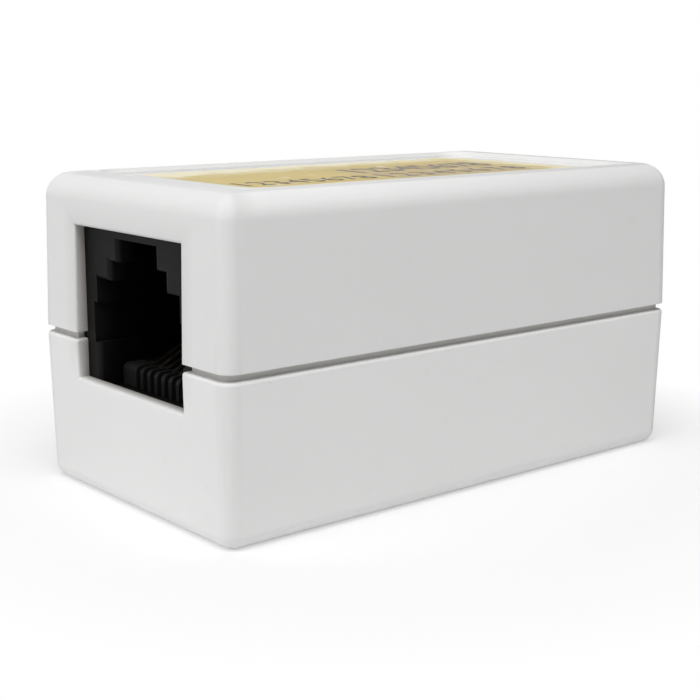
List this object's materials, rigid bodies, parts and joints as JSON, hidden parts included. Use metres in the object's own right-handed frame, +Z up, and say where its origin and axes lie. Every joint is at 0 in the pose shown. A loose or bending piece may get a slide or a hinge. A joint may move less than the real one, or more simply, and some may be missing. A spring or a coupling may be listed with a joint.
{
  "type": "inline network cable coupler",
  "caption": "White two-part box coupler that joins two network cables through a socket in each end, with a gold label in a recess on top.",
  "frame": {"origin": "centre of the underside", "axes": "+X along the case towards the right socket, +Y across it, +Z up through the label"},
  "size_m": [0.0476, 0.026, 0.0251],
  "materials": {
    "case_plastic": "fine satin white ABS",
    "jack_plastic": "satin black, glass-filled",
    "carrier_plastic": "satin black",
    "contact_metal": "gold-plated spring strip",
    "label_foil": "satin gold label film",
    "board_laminate": "green solder mask"
  },
  "bodies": {
    "root": {"upper_shell": "case_plastic", "lower_shell": "case_plastic", "label": "label_foil", "circuit_board": "board_laminate", "jack_housing_left": "jack_plastic", "contact_carrier_left": "carrier_plastic", "jack_housing_right": "jack_plastic", "contact_carrier_right": "carrier_plastic", "contact_left_1": "contact_metal", "contact_left_2": "contact_metal", "contact_left_3": "contact_metal", "contact_left_4": "contact_metal", "contact_left_5": "contact_metal", "contact_left_6": "contact_metal", "contact_left_7": "contact_metal", "contact_left_8": "contact_metal", "contact_right_1": "contact_metal", "contact_right_2": "contact_metal", "contact_right_3": "contact_metal", "contact_right_4": "contact_metal", "contact_right_5": "contact_metal", "contact_right_6": "contact_metal", "contact_right_7": "contact_metal", "contact_right_8": "contact_metal"}
  },
  "joints": []
}
